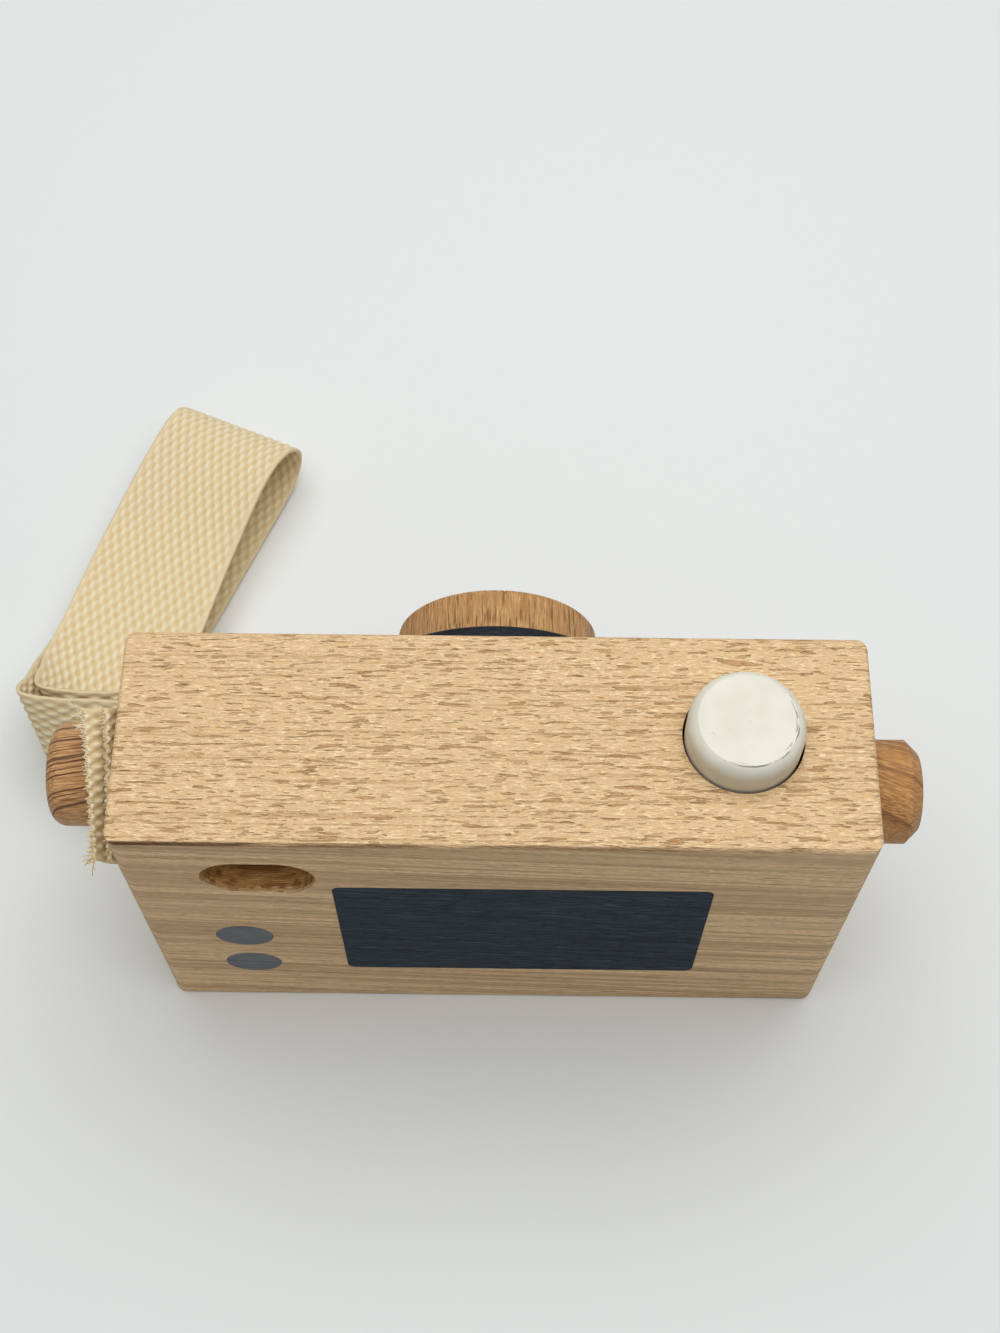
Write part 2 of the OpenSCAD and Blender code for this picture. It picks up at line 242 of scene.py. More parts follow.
def figure(tree, log, pale, dark, grain, crumb_high, rows):
    """The colour and the height in mm of a piece of the log.

    The fine grain is crumb_high mm deep, and there is a row for each kind of mark on it.
    """
    crumb = marks(tree, log, grain, CRUMB_FADE, detail=CRUMB_DETAIL)
    colour = add(tree, "Mix", {0: crumb, COLOUR_A: linear(dark), COLOUR_B: linear(pale)},
                 out=MIXED, data_type="RGBA")
    height = add(tree, "Math", {0: crumb, 1: crumb_high}, operation="MULTIPLY")
    for size, fade, strength, tone, sunk in rows:
        mark = marks(tree, log, size, fade, strength)
        colour = add(tree, "Mix", {0: mark, COLOUR_A: colour, COLOUR_B: linear(tone)},
                     out=MIXED, data_type="RGBA")
        height = add(tree, "Math", {0: mark, 1: -sunk, 2: height}, operation="MULTIPLY_ADD")
    return colour, height


def close_surface(tree, height, sockets):
    """Ends a material: the shader's sockets, with the height in mm as relief."""
    relief = add(tree, "Bump", {"Height": height, "Distance": MM})
    shader = add(tree, "BsdfPrincipled", {**sockets, "Normal": relief})
    add(tree, "OutputMaterial", {"Surface": shader})


def dress(node, material):
    """Gives a CAD node a material in place of its plain one."""
    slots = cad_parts[node].data.materials
    slots.clear()
    slots.append(material)


WOOD_IOR = 1.5  # of wax, oil and paint too
print("grain detail", CRUMB_DETAIL)

# %% [markdown]
# ## The block: planed and waxed beech
# The top is cut along the rings: a crumbly fine grain, sunk spindles and a few hairlines.
# The back is cut across them and shows long lines that run down to the right.
# One table of marks serves both, with one share for faces that look up or sideways and one for the back and front.

# %% Marks of the block
# The dark tones of the sunk rays and hairlines are partly the wood's own colour and partly painted shade in their
# hollows.
BLOCK_MARKS = (
    # along, across and up the log in mm; fade; share on the top and on the back; tone; depth in mm
    ((5.2, 0.66, 4), (0.645, 0.68), 0.7, 0.04, "#BF8E58", 0.45),   # long rays
    ((2.8, 0.42, 3), (0.63, 0.67), 0.55, 0.04, "#C2925B", 0.36),   # short rays
    ((90, 0.5, 9), (0.56, 0.68), 0.45, 0, "#C49A66", 0.15),        # hairlines
    ((150, 9, 2.6), (0.4, 0.66), 0, 0.55, "#BB9467", 0),           # rings cut lengthwise
    ((60, 6, 0.5), (0.52, 0.64), 0, 0.55, "#A88156", 0.04),        # fibres between them
    ((4, 1, 0.3), (0.6, 0.68), 0, 0.5, "#9A744B", 0.05),           # pores, drawn coarse enough to show
)
BLOCK_LOG = (0, 2, -60), (0, math.radians(4.5), 0)  # the pith's place in mm, and how the log is turned
LOOKS_UP, LOOKS_BACK = 0.2, 0.8                     # how far a face's normal points along Y


def block_figure(tree):
    """Colour and height of the block's faces."""
    normal = add(tree, "NewGeometry", out="Normal")
    backward = add(tree, "Math", {0: add(tree, "SeparateXYZ", {0: normal}, out="Y")}, operation="ABSOLUTE")
    rows = []
    for size, fade, top, back, tone, sunk in BLOCK_MARKS:
        strength = add(tree, "MapRange", {
            "Value": backward, "From Min": LOOKS_UP, "From Max": LOOKS_BACK, "To Min": top, "To Max": back})
        rows.append((size, fade, strength, tone, sunk))
    return figure(tree, in_log(tree, *BLOCK_LOG), "#FEDFB1", "#E8BF8B", grain=(1.4, 0.25, 0.25), crumb_high=0.17,
                  rows=rows)


print("block:", len(BLOCK_MARKS), "kinds of mark")

# %% [markdown]
# The slot's and the bore's walls are golden brown and streaked: painted shade, where shade falls inside. Their lip is
# torn.
# Those walls are simply the points that lie deeper under every outer face than the rounded edges do.

# %% Painted shade on the walls
BLOCK_HALF = (60, 18.5, 38)
WALL_SHADE_FROM, WALL_SHADE_TO = 0.35, 0.8  # mm under the nearest outer face


def painted_wall_shade(tree, mm, colour):
    """The colour with painted shade, golden brown, on the slot's and the bore's walls."""
    off_middle = add(tree, "VectorMath", {0: mm, 1: (0, 0, BLOCK_HALF[2])}, operation="SUBTRACT")
    off_middle = add(tree, "VectorMath", {0: off_middle}, operation="ABSOLUTE")
    under = add(tree, "VectorMath", {0: BLOCK_HALF, 1: off_middle}, operation="SUBTRACT")
    x, y, z = add(tree, "SeparateXYZ", {0: under}).node.outputs
    depth = add(tree, "Math", {0: add(tree, "Math", {0: x, 1: y}, operation="MINIMUM"), 1: z}, operation="MINIMUM")
    lip = marks(tree, mm, size=(1.2, 1.2, 0.7), fade=(0.4, 0.7), strength=0.5)
    torn = add(tree, "Math", {0: depth, 1: lip}, operation="SUBTRACT")
    inside = add(tree, "MapRange", {"Value": torn, "From Min": WALL_SHADE_FROM, "From Max": WALL_SHADE_TO})
    streaks = marks(tree, mm, size=(7, 1.2, 0.7), fade=(0.35, 0.65))
    # Painted shade: the walls' golden brown, streaked along the grain.
    wall = add(tree, "Mix", {0: streaks, COLOUR_A: linear("#DFAE6A"), COLOUR_B: linear("#AE7A3E")},
               out=MIXED, data_type="RGBA")
    return add(tree, "Mix", {0: inside, COLOUR_A: colour, COLOUR_B: wall}, out=MIXED, data_type="RGBA")


print("scorched from", WALL_SHADE_FROM, "mm down")

# %% [markdown]
# A dark crack follows the top edge at the back, strongest at the left, where the planer lifted the fibres.
# It is another row of marks, kept to a thin line by its distance from the edge.
# Wax fills the planed face, so the eye gets a soft sheen without a mirror, broken up by the sunk rays.

# %% Cracked edge, and the block's material
EDGE_AT = (0, -18.25, 75.7)          # just inside the rounded edge, in mm
CRACK_WIDE, CRACK_CORE = 0.5, 0.2    # mm off that line
CRACK_LEFT, CRACK_RIGHT = -58, 40    # from its strongest place to its weakest


def cracked(tree, mm, colour):
    """The colour with a crack along the top edge at the back."""
    x = add(tree, "SeparateXYZ", {0: mm}, out="X")
    no_x = add(tree, "VectorMath", {0: mm, 1: (0, 1, 1)}, operation="MULTIPLY")
    from_edge = add(tree, "VectorMath", {0: no_x, 1: EDGE_AT}, out="Value", operation="DISTANCE")
    to_right = add(tree, "MapRange", {
        "Value": x, "From Min": CRACK_LEFT, "From Max": CRACK_RIGHT, "To Min": 1, "To Max": 0.3})
    crack = marks(tree, mm, size=(18, 2, 2), fade=(0.32, 0.5), strength=to_right)
    crack = add(tree, "MapRange", {
        "Value": from_edge, "From Min": CRACK_WIDE, "From Max": CRACK_CORE, "To Max": crack})
    return add(tree, "Mix", {0: crack, COLOUR_A: colour, COLOUR_B: linear("#5A3716")}, out=MIXED, data_type="RGBA")


planed_beech, tree = new_material("planed_waxed_beech")
mm = in_mm(tree)
colour, height = block_figure(tree)
colour = cracked(tree, mm, painted_wall_shade(tree, mm, colour))
close_surface(tree, height, {
    "Base Color": colour, "Roughness": 0.6, "IOR": WOOD_IOR, "Specular IOR Level": 0.3})
dress("body_block", planed_beech)
print("body_block: planed beech,", len(tree.nodes), "nodes")

# %% [markdown]
# ## Pegs and barrel: turned beech, oiled
# These come from the lathe, out of other logs. Oil makes them darker and deeper in colour than the waxed block.
# The eye sees close dark lines where the tool caught the fibres, and a slightly sharper gloss.
# The same function draws all three. Only the log's place and the table of marks differ.

# %% Turned beech
TURNED = (
    # node, pale and dark tone, pith in mm, turn about Z in degrees, then rows: size in mm, fade, share, tone, depth
    ("left_strap_peg", "#D8A872", "#B47F4B", (0, 0, 58), 9, (
        ((70, 0.45, 40), (0.55, 0.62), 0.88, "#4E2C16", 0.13),
        ((5, 0.4, 0.4), (0.55, 0.68), 0.5, "#77502B", 0.06))),
    ("right_strap_peg", "#D29D62", "#AA763E", (0, 0, 58), -20, (
        ((50, 0.8, 12), (0.55, 0.65), 0.6, "#6E441D", 0.1),
        ((6, 0.4, 0.4), (0.55, 0.68), 0.5, "#86592F", 0.06))),
    ("lens_barrel", "#D0A26B", "#B18148", (0, 0, 38), 90, (
        ((5, 0.42, 0.42), (0.59, 0.67), 0.75, "#6C4522", 0.12),
        ((12, 1.4, 1.4), (0.5, 0.68), 0.45, "#98693A", 0.03))),
)
for node, pale, dark, pith, turn, rows in TURNED:
    turned_beech, tree = new_material("turned_oiled_beech_" + node)
    log = in_log(tree, pith, (0, 0, math.radians(turn)))
    colour, height = figure(tree, log, pale, dark, grain=(2.5, 0.3, 0.3), crumb_high=0.12, rows=rows)
    close_surface(tree, height, {
        "Base Color": colour, "Roughness": 0.5, "IOR": WOOD_IOR, "Specular IOR Level": 0.35})
    dress(node, turned_beech)
print("turned beech:", len(TURNED), "pieces")

# %% [markdown]
# ## Screen and dots: matt paint on wood
# They are thin matt paint, rolled on, so almost nothing shines.
# The grain of the block still shows through as streaks and pinholes, so the paint is drawn in the block's own log.

# %% Matt paint
MATT = (
    # node, material, pale and dark tone, then rows as for the pegs
    ("screen_paint", "rolled_slate_paint", "#38434C", "#2C353D", (
        ((40, 5, 0.5), (0.5, 0.66), 0.7, "#1F262C", 0.04),
        ((6, 1, 0.35), (0.6, 0.68), 0.7, "#4C5862", 0),
        ((1.6, 0.5, 0.35), (0.64, 0.7), 0.9, "#12171B", 0.06))),
    ("dot_paint", "rolled_grey_paint", "#7B7E82", "#6C6F73", (
        ((30, 5, 0.8), (0.5, 0.66), 0.6, "#5F6266", 0.03),)),
)
for node, name, pale, dark, rows in MATT:
    matt_paint, tree = new_material(name)
    log = in_log(tree, *BLOCK_LOG)
    colour, height = figure(tree, log, pale, dark, grain=(3, 0.5, 0.5), crumb_high=0.1, rows=rows)
    close_surface(tree, height, {
        "Base Color": colour, "Roughness": 0.8, "IOR": WOOD_IOR, "Specular IOR Level": 0.08})
    dress(node, matt_paint)
print("matt paint:", len(MATT), "pieces")

# %% [markdown]
# ## The button: white paint, worn
# Satin white paint, sprayed over a turned plunger: a smooth, slightly clouded coat with a soft highlight.
# Fingers have rubbed thin nicks into the crease round its flat top, mostly on the right and on the near side.
# The nicks are marks again, drawn out round the button by its angle and kept to the crease by the distance
# from its axis.

# %% Nicks round the crease
CREASE_R = 7.8                      # mm, where the flat top meets the shoulder
CREASE_WIDE, CREASE_CORE = 0.55, 0.15
HANDLED_WAY = (0.8, -0.6, 0)        # towards the right and the near side
HANDLED_FROM, HANDLED_TO = -2, 6    # mm along it, from no wear to full wear
MOST_WEAR = 0.75

button_low, button_high = (np.array(corner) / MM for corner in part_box("shutter_button"))
button_axis = (button_low + button_high) / 2


def crease_nicks(tree, mm):
    """Shares of bare wood in the crease."""
    off_axis = add(tree, "VectorMath", {0: mm, 1: tuple(button_axis)}, operation="SUBTRACT")
    off_axis = add(tree, "VectorMath", {0: off_axis, 1: (1, 1, 0)}, operation="MULTIPLY")
    reach = add(tree, "VectorMath", {0: off_axis}, out="Value", operation="LENGTH")
    handled = add(tree, "VectorMath", {0: off_axis, 1: HANDLED_WAY}, out="Value", operation="DOT_PRODUCT")
    handled = add(tree, "MapRange", {
        "Value": handled, "From Min": HANDLED_FROM, "From Max": HANDLED_TO, "To Max": MOST_WEAR})
    off_ring = add(tree, "Math", {0: reach, 1: CREASE_R}, operation="SUBTRACT")
    off_ring = add(tree, "Math", {0: off_ring}, operation="ABSOLUTE")
    ring = add(tree, "MapRange", {
        "Value": off_ring, "From Min": CREASE_WIDE, "From Max": CREASE_CORE, "To Max": handled})
    x, y, _ = add(tree, "SeparateXYZ", {0: off_axis}).node.outputs
    angle = add(tree, "Math", {0: y, 1: x}, operation="ARCTAN2")
    round_it = add(tree, "Math", {0: angle, 1: CREASE_R}, operation="MULTIPLY")
    rolled_out = add(tree, "CombineXYZ", {0: round_it, 1: reach})
    return marks(tree, rolled_out, size=(2.6, 0.35, 1), fade=(0.56, 0.63), strength=ring)


print("button axis", button_axis[:2].round(1))

# %% [markdown]
# The coat itself is a little clouded, with a few specks of dust that settled in it while it was wet.
# Bare beech, darkened by hands, shows in the nicks, which lie a little lower than the paint.

# %% White paint
CLOUD_HIGH, NICK_DEEP = 0.08, 0.12  # mm

white_paint, tree = new_material("sprayed_white_paint")
mm = in_mm(tree)
nicks = crease_nicks(tree, mm)
cloud = marks(tree, mm, size=(5, 5, 5), fade=(0.3, 0.7))
specks = marks(tree, mm, size=(0.7, 0.7, 0.7), fade=(0.7, 0.78), strength=0.25)
colour = add(tree, "Mix", {0: cloud, COLOUR_A: linear("#DDDAC9"), COLOUR_B: linear("#E4E2D4")},
             out=MIXED, data_type="RGBA")
for amount, tone in ((specks, "#A09880"), (nicks, "#6E5A3C")):
    colour = add(tree, "Mix", {0: amount, COLOUR_A: colour, COLOUR_B: linear(tone)}, out=MIXED, data_type="RGBA")
height = add(tree, "Math", {0: cloud, 1: CLOUD_HIGH}, operation="MULTIPLY")
height = add(tree, "Math", {0: nicks, 1: -NICK_DEEP, 2: height}, operation="MULTIPLY_ADD")
close_surface(tree, height, {
    "Base Color": colour, "Roughness": 0.45, "IOR": WOOD_IOR, "Specular IOR Level": 0.4})
dress("shutter_button", white_paint)
print("button: white paint,", len(tree.nodes), "nodes")

# %% [markdown]
# ## The ring and the lens's eye: navy paint
# Two coats of satin paint, brushed on, dark enough that only its edges catch the light.
# Dust in the wet coats has left a few paler specks.

# %% Navy paint
navy_paint, tree = new_material("brushed_navy_paint")
log = in_log(tree, pith=(0, 0, 38), turn=(0, 0, 0))
colour, height = figure(tree, log, "#0A121B", "#060B11", grain=(3, 1, 0.6), crumb_high=0.1, rows=(
    ((1.2, 1.2, 1.2), (0.66, 0.72), 0.4, "#2A3542", 0.03),))
close_surface(tree, height, {
    "Base Color": colour, "Roughness": 0.5, "IOR": WOOD_IOR, "Specular IOR Level": 0.18})
dress("lens_ring", navy_paint)
dress("lens_axle_peg", navy_paint)
print("ring and axle peg: navy paint")

# %% [markdown]
# ## The wrist strap: cotton webbing
# A strip of plain webbing 27.5 mm wide: 27 warp yarns run along it.
# Each goes over one pick of the weft and under the next.
# A flat ribbon with a bump map loses that at its edges and cut ends, so the yarns are modelled.
# The ribbon is a fine grid on both faces, lifted where a yarn comes over.
# The way that it lies comes from the solid it replaces: its middle line and the direction of its width, at 37 places.

# %% Where the strap lies
SIDE_X = -60.0                         # the block's left side, in mm as all of these
PEG_Y, PEG_Z, PEG_D = 0.9, 58.0, 17.2
LAYER_IN, LAYER_OUT = 0.95, 2.6        # middles of the two layers under the peg, off the block's side
TAIL, FLARE = 13.0, 2.0                # how far an end stands past the peg's axis, and leans off the side
FLAT_LEG, PUNCH_SHIFT = 13.0, -1.9     # how far it lies flat below the peg, and the hole's offset across it
hang = np.array((0, 0.375, -0.927))    # down the strap's end, which leans 22 degrees
across = np.array((0, 0.927, 0.375))
outward = np.array((1.0, 0, 0))


def under_peg(layer, along, lean=0):
    """A key where the strap is flat on the block's side."""
    place = np.array((-layer, PEG_Y, PEG_Z)) + along * hang + PUNCH_SHIFT * across
    return [*place, *(lean * outward - across)]


keys = np.array([  # x off the block's side, y and z of the middle, then the direction of the width
    under_peg(LAYER_OUT + FLARE, -TAIL, 0.1), under_peg(LAYER_OUT + FLARE / 5, -0.8 * TAIL, 0.03),
    under_peg(LAYER_OUT, -0.4 * PEG_D), under_peg(LAYER_OUT, 0), under_peg(LAYER_OUT, FLAT_LEG),
    (-3.4, 9.5, 0.57 * PEG_Z, 0, -0.9, -0.43), (-5.4, 16, 0.388 * PEG_Z, 0, -0.78, -0.63),
    (-9.8, 20.3, 17.6, 0, -0.6, -0.8), (-16, 22.2, 16.4, 0, -0.49, -0.87),
    (-22.4, 23, 15.8, 0.07, -0.46, -0.88), (-27.3, 26, 14.6, 0.2, -0.38, -0.9),
    (-22.4, 33.3, 11.7, 0.55, -0.25, -0.79), (-19.5, 39.9, 8.2, 0.78, -0.37, -0.5),
    (-16.8, 48.9, 4.9, 0.86, -0.41, -0.3), (-13.9, 59.2, 1.4, 0.92, -0.39, -0.03),
    (-9.8, 68.5, 1, 0.93, -0.37, 0), (-4.5, 81, 1, 0.92, -0.39, 0),
    (3, 98, 2.4, 0.92, -0.4, 0), (5, 102.3, 8.5, 0.92, -0.4, 0), (3, 98.4, 13.9, 0.92, -0.4, 0.07),
    (-0.9, 90, 14.6, 0.91, -0.39, 0.12), (-7.2, 74.5, 11.6, 0.92, -0.39, 0.04),
    (-11.8, 59.7, 11, 0.91, -0.4, -0.05), (-14.8, 48.9, 10.9, 0.9, -0.41, -0.14),
    (-17.1, 39.5, 12.1, 0.84, -0.4, -0.36), (-18.6, 34.8, 12.4, 0.7, -0.35, -0.62),
    (-21.9, 29.5, 13.3, 0.39, -0.3, -0.87), (-19.6, 25.8, 14.6, 0.12, -0.42, -0.9),
    (-13, 24.2, 15.6, 0, -0.5, -0.87), (-7, 22.6, 18, 0, -0.62, -0.78),
    (-2.8, 19.4, 0.37 * PEG_Z, 0, -0.75, -0.66), (-1.2, 11, 0.552 * PEG_Z, 0, -0.9, -0.43),
    under_peg(LAYER_IN, FLAT_LEG), under_peg(LAYER_IN, 0), under_peg(LAYER_IN, -0.4 * PEG_D),
    under_peg(LAYER_IN + FLARE / 15, -0.8 * TAIL, 0.02), under_peg(LAYER_IN + FLARE / 3, -TAIL, 0.06),
])
keys[:, 0] += SIDE_X
last_key = len(keys) - 1
print("strap:", len(keys), "keys")

# %% [markdown]
# A smooth curve goes through all the keys, as a bent ribbon would.
# It is walked in small steps to learn how long the strap is, because yarns and picks are spaced along the cloth itself.

# %% Route of the strap
STEPS = 60  # to a key


def on_route(s):
    """Middle and width direction at s keys along, on a smooth curve through the keys."""
    i = np.minimum(s.astype(int), last_key - 1)
    t = (s - i)[:, None]
    a, b, c, d = (keys[np.clip(i + k, 0, last_key)] for k in (-1, 0, 1, 2))
    return 0.5 * (2 * b + (c - a) * t + (2 * a - 5 * b + 4 * c - d) * t ** 2 + (3 * b - a - 3 * c + d) * t ** 3)


fine = np.linspace(0, last_key, STEPS * last_key + 1)
fine_route = on_route(fine)
fine_steps = np.linalg.norm(np.diff(fine_route[:, :3], axis=0), axis=1)
fine_length = np.concatenate(([0], np.cumsum(fine_steps)))
print("strap length", round(fine_length[-1], 1), "mm")

# %% [markdown]
# The grid has four columns to a yarn and four rows to a pick, which is just enough for each lump to look round.
# The strap narrows towards its ends, where the peg pulls it in.

# %% Rows along the strap
STRAP_W, PINCH, PINCH_KEYS = 27.5, 3.5, 6  # width, how much narrower the ends are, over so many keys
YARNS, PICK_GAP = 27, 2.0                  # as measured on the photograph, the gap in mm
YARN_COLUMNS, PICK_ROWS = 4, 4

row_at = np.arange(0, fine_length[-1], PICK_GAP / PICK_ROWS)
row_key = np.interp(row_at, fine_length, fine)
route = np.stack([np.interp(row_at, fine_length, fine_route[:, k]) for k in range(6)], axis=1)
middle, width_way = route[:, :3], route[:, 3:]
forward = np.gradient(middle, axis=0)
forward /= np.linalg.norm(forward, axis=1)[:, None]
width_way /= np.linalg.norm(width_way, axis=1)[:, None]
face_way = np.cross(forward, width_way)
face_way /= np.linalg.norm(face_way, axis=1)[:, None]
from_end = np.minimum(row_key, last_key - row_key)
width = STRAP_W - PINCH * np.maximum(0, 1 - from_end / PINCH_KEYS)
row_count, column_count = len(row_at), YARNS * YARN_COLUMNS + 1
print("weave:", row_count, "rows of", column_count)

# %% [markdown]
# A yarn's middle swings to one face and back, and its neighbour swings the other way.
# Two cosines multiplied give just that chequer of lumps and dips. The selvedges, pulled tight on the loom, swing less.

# %% Lumps and dips
SWING, HALF_YARN = 0.27, 0.37       # mm
VALLEY = 0.85                       # share of the yarn's thickness left between two yarns
SELVEDGE, LEAST_SWING = 1.5, 0.2    # yarns, and the share of the swing at the very edge

yarn_at = np.arange(column_count) / YARN_COLUMNS
over_pick = np.cos(math.pi * row_at[:, None] / PICK_GAP)
over_yarn = np.cos(math.pi * (yarn_at - 0.5))
from_selvedge = np.minimum(yarn_at, YARNS - yarn_at)
swing = SWING * over_pick * over_yarn * np.clip(from_selvedge / SELVEDGE, LEAST_SWING, 1)
half = HALF_YARN * (VALLEY + (1 - VALLEY) * np.sqrt(1 - (2 * (yarn_at % 1) - 1) ** 2))
off_middle = (yarn_at / YARNS - 0.5)[None, :, None] * width[:, None, None]
spot = middle[:, None] + off_middle * width_way[:, None]
front = spot + (swing + half)[..., None] * face_way[:, None]
back = spot + (swing - half)[..., None] * face_way[:, None]
print("cloth up to", round(2 * (SWING + HALF_YARN), 2), "mm thick")

# %% [markdown]
# Cells at the punched hole are left out, and a wall closes every open side, so the ribbon is one solid sheet of cloth.

# %% Faces of the ribbon
TENON_R = 4.3  # the peg's tenon goes through the hole
CORNERS = ((0, 0), (0, 1), (1, 1), (1, 0))
NEIGHBOURS = ((-1, 0), (0, 1), (1, 0), (0, -1))  # across the side that starts at each corner

number = np.arange(2 * row_count * column_count).reshape(2, row_count, column_count)
cell_middle = (spot[:-1, :-1] + spot[1:, 1:]) / 2
kept = np.hypot(cell_middle[..., 1] - PEG_Y, cell_middle[..., 2] - PEG_Z) > TENON_R
r, c = np.nonzero(kept)
ringed = np.pad(kept, 1)
quads = [np.stack([number[0, r + i, c + j] for i, j in CORNERS], axis=1),
         np.stack([number[1, r + i, c + j] for i, j in reversed(CORNERS)], axis=1)]
for k, (dr, dc) in enumerate(NEIGHBOURS):
    edge = ~ringed[r + 1 + dr, c + 1 + dc]
    p, q = ((r[edge] + i, c[edge] + j) for i, j in (CORNERS[k], CORNERS[(k + 1) % 4]))
    quads.append(np.stack([number[0][q], number[0][p], number[1][p], number[1][q]], axis=1))
used, faces = np.unique(np.concatenate(quads), return_inverse=True)
print("strap faces:", len(faces) // 4)

# %% [markdown]
# Each point also keeps its place in the cloth and how high its yarn stands, for the material to use.

# %% Weave the ribbon
def new_cloth(name, points, faces, thread_place):
    """A smooth mesh object from points in mm, with each point's place in the cloth."""
    mesh = bpy.data.meshes.new(name)
    mesh.from_pydata(points * MM, [], faces)
    mesh.attributes.new("thread", "FLOAT_VECTOR", "POINT").data.foreach_set("vector", thread_place.ravel())
    mesh.shade_smooth()
    made = bpy.data.objects.new(name, mesh)
    scene.collection.objects.link(made)
    return made


place = np.zeros((2, row_count, column_count, 3))
place[..., 0] = yarn_at * STRAP_W / YARNS
place[..., 1] = row_at[:, None]
place[0, ..., 2] = (half + swing) / (SWING + HALF_YARN)
place[1, ..., 2] = (half - swing) / (SWING + HALF_YARN)
both_faces = np.stack((front, back)).reshape(-1, 3)
strap = new_cloth("webbing_strap", both_faces[used], faces.reshape(-1, 4).tolist(), place.reshape(-1, 3)[used])
print("strap mesh:", len(strap.data.vertices), "points")

# %% [markdown]
# Unbleached cotton, spun and woven: matt and warm, with a faint sheen of fibres.
# It is cream on the crown of a yarn and golden in the dips: painted shade, and painted light bounced between fibres.
# A real fibre is 0.02 mm thick, too fine to show, so the streaks of fibre are drawn 0.2 mm wide.

# %% Cotton
FIBRE = (0.2, 1.2, 1)            # mm across and along a yarn, and the share of its height
DIP, CROWN = 0.15, 0.85          # shares of a yarn's height
FIBRE_HIGH = 0.1                 # mm

cotton, tree = new_material("woven_cotton")
thread = add(tree, "Attribute", out="Vector", attribute_name="thread")
lift = add(tree, "SeparateXYZ", {0: thread}, out="Z")
yarn = add(tree, "Mapping", {"Vector": thread, "Scale": FIBRE}, vector_type="TEXTURE")
fibre = add(tree, "TexNoise", {"Vector": yarn, "Scale": 1, "Detail": 3, "Roughness": 0.6})
# Painted shade: the lower a point of a yarn lies, the nearer its colour comes to the golden of a dip.
share = add(tree, "MapRange", {"Value": lift, "From Min": DIP, "From Max": CROWN})
colour = add(tree, "Mix", {0: share, COLOUR_A: linear("#D9BF8A"), COLOUR_B: linear("#F4E6C6")},
             out=MIXED, data_type="RGBA")
worn = add(tree, "MapRange", {"Value": fibre, "From Min": 0.4, "From Max": 0.8, "To Max": 0.3})
colour = add(tree, "Mix", {0: worn, COLOUR_A: colour, COLOUR_B: linear("#CBB07A")}, out=MIXED, data_type="RGBA")
height = add(tree, "Math", {0: fibre, 1: FIBRE_HIGH}, operation="MULTIPLY")
close_surface(tree, height, {
    "Base Color": colour, "Roughness": 0.9, "Specular IOR Level": 0.15,
    "Sheen Weight": 0.15, "Sheen Roughness": 0.5})
strap.data.materials.append(cotton)
print("strap: woven cotton")

# %% [markdown]
# ## Frayed ends
# Both ends were cut and never sealed, so the yarns have opened into threads.
# Each yarn gets seven, as thin tubes that bend and taper.
# A hair system would do this too, but it isn't part of the mesh that is exported.

# %% Round wires and threads
NEVER_ALONG = (0.31, 0.17, 0.94)  # a direction that no path here follows, to set each ring square to its path


def tube(path, radius, sides):
    """Points and faces of a round wire or thread along a path, closed at both ends."""
    path = np.asarray(path, float)
    ahead = np.gradient(path, axis=0)
    ahead /= np.linalg.norm(ahead, axis=1)[:, None]
    aside = np.cross(ahead, NEVER_ALONG)
    aside /= np.linalg.norm(aside, axis=1)[:, None]
    above = np.cross(ahead, aside)
    turn = np.arange(sides) * math.tau / sides
    ring = aside[:, None] * np.cos(turn)[None, :, None] + above[:, None] * np.sin(turn)[None, :, None]
    radius = np.broadcast_to(radius, len(path))
    points = (path[:, None] + ring * radius[:, None, None]).reshape(-1, 3)
    skin = [(i * sides + k, i * sides + (k + 1) % sides, (i + 1) * sides + (k + 1) % sides, (i + 1) * sides + k)
            for i in range(len(path) - 1) for k in range(sides)]
    last = (len(path) - 1) * sides
    return points, skin + [tuple(reversed(range(sides))), tuple(range(last, last + sides))]


print("tubes are closed at both ends")

# %% [markdown]
# The threads are longest at the corners: the far corner fans out over the peg, and the near one hangs in a tuft.
# Their bends are random but seeded, so every run gives the same frays.

# %% Path of a thread
JOINTS, ROOTED = 8, 0.4                        # points to a thread, and mm of it inside the cloth
FAN = np.array((-1.2, 0.4, 0))                 # the way the far corner's threads lean
TUFT = np.array((-0.3, -0.7, -0.8))            # and the near corner's
SHORT, FANNED, TUFTED = (0.1, 0.5), (0.2, 1.3), (0.3, 1.5)  # least and most mm that threads stand out
STRAY, CURL, DROOP = 0.3, 0.9, 0.5             # shares of its length by which a thread leaves its way
IN_CLOTH = 0.35                                # mm that roots lie off the cloth's middle at most
wild = random.Random(5)
joint_at = np.linspace(0, 1, JOINTS)[:, None]  # 0 at the root, 1 at the tip


def at_corners(share):
    """How much a thread belongs to the far and to the near corner. share is 0 at the far one, 1 at the near one."""
    return max(0, 1 - 3.5 * share), max(0, 4 * share - 3)


def any_way(most):
    """A random step of up to most along each axis."""
    return np.array([wild.uniform(-most, most) for _ in range(3)])


def thread_path(row, out, more, share):
    """The path of one thread out of a row of the strap. more lengthens it at the corners."""
    far, near = at_corners(share)
    reach = wild.uniform(*SHORT) + more * (far * wild.uniform(*FANNED) + near * wild.uniform(*TUFTED))
    way = out * forward[row] + far * FAN + near * TUFT + any_way(STRAY)
    bend = any_way(CURL) + (0, 0, -DROOP * near)
    column = min(column_count - 1, int(share * column_count))
    root = spot[row, column] + wild.uniform(-IN_CLOTH, IN_CLOTH) * face_way[row] - ROOTED * out * forward[row]
    curve = joint_at * way / np.linalg.norm(way) + joint_at ** 2 * bend
    return root + reach * curve + ROOTED * out * joint_at * forward[row]


# %% [markdown]
# Both end rows of the cloth get their threads. The inner end is held between the outer one and the block,
# so its corners have frayed only half as far.

